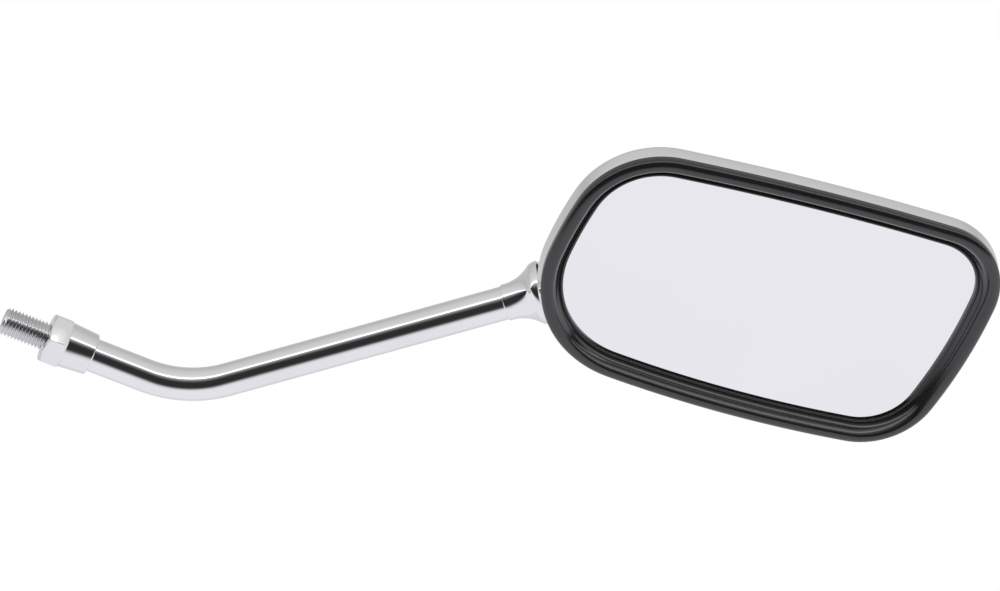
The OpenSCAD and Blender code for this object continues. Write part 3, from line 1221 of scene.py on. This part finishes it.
# Camera and light
@dataclass
class Studio:
    """Camera, light, world and floor, in metres unless a name says millimetres."""

    right: Triple = (-0.46952, -0.03901, 0.88206)
    up: Triple = (-0.74826, 0.54789, -0.37407)
    back: Triple = (-0.46868, -0.83564, -0.28644)
    eye_mm: Triple = (-415.6, -585.9, -65.8)
    focal_px: float = 1995.0
    image_px: int = 1000
    sensor_mm: float = 36.0
    nearest: float = 0.01
    farthest: float = 20.0
    surround: Triple = (1.0, 1.0, 1.0)
    surround_light: Triple = (0.55, 0.55, 0.56)
    # Name, place and power of each lamp
    lamps: tuple[tuple[str, Triple, float], ...] = (
        ("key", (-0.7, -0.9, 1.1), 14.0),
        ("fill", (0.9, -0.5, 0.5), 6.0),
        ("rear", (0.2, 1.0, 0.9), 7.0),
    )
    lamp_side: float = 1.2
    lamp_aim: Triple = (-0.1, 0.0, 0.14)
    floor_mm: float = -110.0
    floor_half: float = 3.0
    floor_fade: tuple[float, float] = (0.3, 0.6)
    floor_tones: tuple[Triple, Triple] = ((0.9, 0.9, 0.9), (0.93, 0.93, 0.93))
    middle: Triple = (-0.08, 0.0, 0.12)
    sheet_r: float = 1.5
    sheet_length: float = 6.0
    # Degrees round the camera's level line, and the tone that the reflecting sheet has there
    tones: tuple[tuple[float, Triple], ...] = (
        (-180, (0.62, 0.61, 0.62)),
        (-128, (0.74, 0.73, 0.76)),
        (-116, (0.835, 0.82, 0.875)),
        (-52, (0.835, 0.82, 0.875)),
        (-41, (0.66, 0.65, 0.68)),
        (-35, (0.33, 0.325, 0.34)),
        (-28, (0.06, 0.058, 0.06)),
        (-18, (0.026, 0.025, 0.027)),
        (8, (0.03, 0.029, 0.03)),
        (17, (0.08, 0.078, 0.08)),
        (29, (0.3, 0.295, 0.3)),
        (35, (0.6, 0.59, 0.6)),
        (38, (0.96, 0.96, 0.96)),
        (39, (3.2, 3.2, 3.2)),
        (43, (3.2, 3.2, 3.2)),
        (44, (0.98, 0.98, 0.98)),
        (49, (0.86, 0.85, 0.86)),
        (58, (0.7, 0.69, 0.69)),
        (90, (0.63, 0.62, 0.615)),
        (128, (0.5, 0.49, 0.485)),
        (180, (0.62, 0.61, 0.62)),
    )

    def camera(self) -> None:
        """Makes the camera at the photograph's place."""
        data = bpy.data.cameras.new("camera")
        data.sensor_fit = "HORIZONTAL"
        data.sensor_width = self.sensor_mm
        data.lens = self.focal_px / self.image_px * self.sensor_mm
        data.clip_start = self.nearest
        data.clip_end = self.farthest
        made = bpy.data.objects.new("camera", data)
        turned = Matrix((self.right, self.up, self.back)).transposed().to_4x4()
        made.matrix_world = Matrix.Translation(Vector(self.eye_mm) * MM) @ turned
        bpy.context.scene.collection.objects.link(made)
        bpy.context.scene.camera = made

    def world(self) -> None:
        """Sets a white surround, at a plain level for what it lights."""
        world = bpy.data.worlds.new("surround")
        bpy.context.scene.world = world
        world.use_nodes = True
        nodes = Nodes(world.node_tree)
        path = nodes.add("ShaderNodeLightPath")
        seen = Value(nodes, path.outputs["Is Camera Ray"])
        for kind in ("Is Glossy Ray", "Is Transmission Ray"):
            seen = nodes.math("MAXIMUM", seen, Value(nodes, path.outputs[kind]))
        colour = nodes.mix(seen, rgba(self.surround_light), rgba(self.surround))
        background = nodes.add("ShaderNodeBackground", {}, {"Color": colour, "Strength": 1.0})
        nodes.add("ShaderNodeOutputWorld", {}, {"Surface": background.outputs[0]})

    def reflector(self) -> None:
        """Hangs the drum that the polished pieces reflect, toned round the camera's level line."""
        bm = bmesh.new()
        bmesh.ops.create_cone(
            bm,
            cap_ends=True,
            segments=128,
            radius1=self.sheet_r,
            radius2=self.sheet_r,
            depth=self.sheet_length,
        )
        turned = Matrix((self.back, self.up, tuple(-c for c in self.right))).transposed().to_4x4()
        bmesh.ops.transform(bm, matrix=Matrix.Translation(self.middle) @ turned, verts=bm.verts)
        made = new_object(bm, "reflector_sheet")
        made.visible_camera = made.visible_diffuse = made.visible_shadow = made.visible_transmission = False
        material, nodes = new_material("reflector_tones")
        place = nodes.object_place()

        def along(axis: Triple) -> Value:
            """How far a point lies from the middle along an axis."""
            dot = nodes.add("ShaderNodeVectorMath", {"operation": "DOT_PRODUCT"}, {0: place, 1: axis})
            return Value(nodes, dot.outputs["Value"]) - Vector(axis).dot(Vector(self.middle))

        turn = nodes.math("ARCTAN2", along(self.up), along(self.back)) * (1 / math.tau) + 0.5
        stops = [(0.5 + degrees / 360, tone) for degrees, tone in self.tones]
        ramp = nodes.add("ShaderNodeValToRGB", {"stops": stops}, {0: turn})
        tone = Value(nodes, ramp.outputs["Color"])
        glow = nodes.add("ShaderNodeEmission", {}, {"Color": tone, "Strength": 1.0})
        nodes.add("ShaderNodeOutputMaterial", {}, {"Surface": glow.outputs[0]})
        made.data.materials.append(material)

    def lamp(self, name: str, place: Triple, power: float) -> None:
        """Hangs a soft lamp that looks at the middle of the piece.

        Args:
            name: Its name.
            place: Where it hangs.
            power: Its power.
        """
        data = bpy.data.lights.new(name, "AREA")
        data.shape = "SQUARE"
        data.size = self.lamp_side
        data.energy = power
        made = bpy.data.objects.new(name, data)
        aim = Vector(self.lamp_aim) - Vector(place)
        made.matrix_world = Matrix.Translation(place) @ aim.to_track_quat("-Z", "Y").to_matrix().to_4x4()
        made.visible_glossy = False
        bpy.context.scene.collection.objects.link(made)

    def floor(self) -> None:
        """Lays a pale floor under the piece, which fades out and is seen from above only."""
        bm = bmesh.new()
        bmesh.ops.create_grid(bm, x_segments=2, y_segments=2, size=self.floor_half)
        bmesh.ops.translate(bm, verts=bm.verts, vec=(0, 0, self.floor_mm * MM))
        made = new_object(bm, "floor")
        made.visible_glossy = False
        material, nodes = new_material("pale_floor")
        place = nodes.object_place()
        mottle = nodes.noise(place, 3.0)
        tone = nodes.mix(mottle, rgba(self.floor_tones[0]), rgba(self.floor_tones[1]))
        matte = nodes.add("ShaderNodeBsdfDiffuse", {}, {"Color": tone})
        clear = nodes.add("ShaderNodeBsdfTransparent")
        distance = nodes.add("ShaderNodeVectorMath", {"operation": "LENGTH"}, {0: place})
        away = Value(nodes, distance.outputs["Value"]).between(*self.floor_fade)
        below = Value(nodes, nodes.add("ShaderNodeNewGeometry").outputs["Backfacing"])
        under = nodes.math("MAXIMUM", below, away)
        both = nodes.add("ShaderNodeMixShader", {}, {0: under, 1: matte.outputs[0], 2: clear.outputs[0]})
        nodes.add("ShaderNodeOutputMaterial", {}, {"Surface": both.outputs[0]})
        made.data.materials.append(material)

    def set_up(self) -> None:
        """Puts the whole studio up."""
        self.camera()
        self.world()
        self.reflector()
        for name, place, power in self.lamps:
            self.lamp(name, place, power)
        self.floor()
        bpy.context.scene.view_settings.view_transform = "Standard"


def main() -> None:
    """Builds the pieces in order and reports each."""
    logging.basicConfig(level=logging.INFO, format="%(name)s: %(message)s")
    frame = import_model()
    outline = Outline()
    builders: list[tuple[Callable[[str], bpy.types.Object], str]] = [
        (Stud().build, "stem_assembly"),
        (LockNut().build, "lock_nut"),
        (StemTube().build, "stem_assembly"),
        (NeckBell().build, "stem_assembly"),
        (Shell(outline).build, "head"),
        (Bezel(outline).build, "head"),
        (Glass(outline).build, "head"),
    ]
    for build, body in builders:
        build(body)
    JointParts().dress(frame["nodes"])
    Studio().set_up()


if __name__ == "__main__":
    main()
